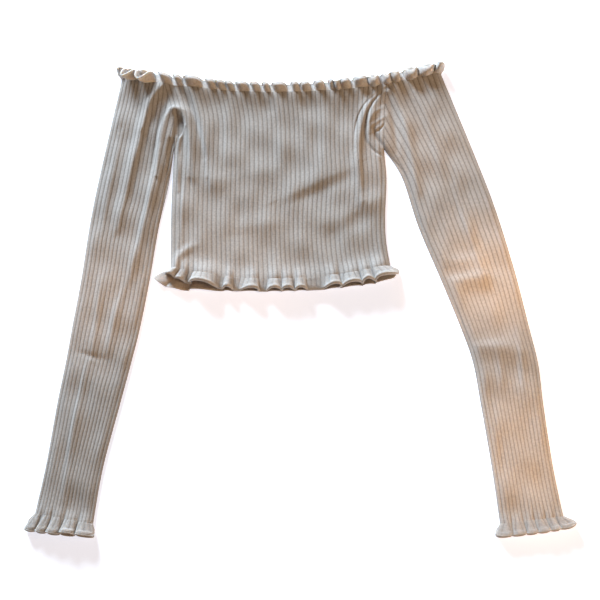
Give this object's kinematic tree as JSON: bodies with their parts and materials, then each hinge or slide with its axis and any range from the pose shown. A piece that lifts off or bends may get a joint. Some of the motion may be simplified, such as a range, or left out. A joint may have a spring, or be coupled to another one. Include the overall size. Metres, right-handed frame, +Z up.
{
  "type": "off-shoulder top",
  "caption": "Cropped off-shoulder top in ribbed knit with long sleeves and narrow frills round neck, hem and cuffs, laid flat.",
  "frame": {"origin": "middle of the footprint of the garment, on the surface that it lies on", "axes": "+Z up from the surface through the back and then the front, +X across from cuff to cuff towards the viewer's right, +Y from the hem to the neck"},
  "size_m": [0.6402, 0.6166, 0.0183],
  "materials": {
    "rib_knit": "matte ribbed knit",
    "frill_knit": "matte fine knit with a sewn edge"
  },
  "bodies": {
    "root": {"body_back": "rib_knit", "body_front": "rib_knit", "left_sleeve": "rib_knit", "right_sleeve": "rib_knit", "neck_frill_front": "frill_knit", "neck_frill_back": "frill_knit", "hem_frill_front": "frill_knit", "hem_frill_back": "frill_knit", "left_cuff_frill_front": "frill_knit", "left_cuff_frill_back": "frill_knit", "right_cuff_frill_front": "frill_knit", "right_cuff_frill_back": "frill_knit"}
  },
  "joints": []
}
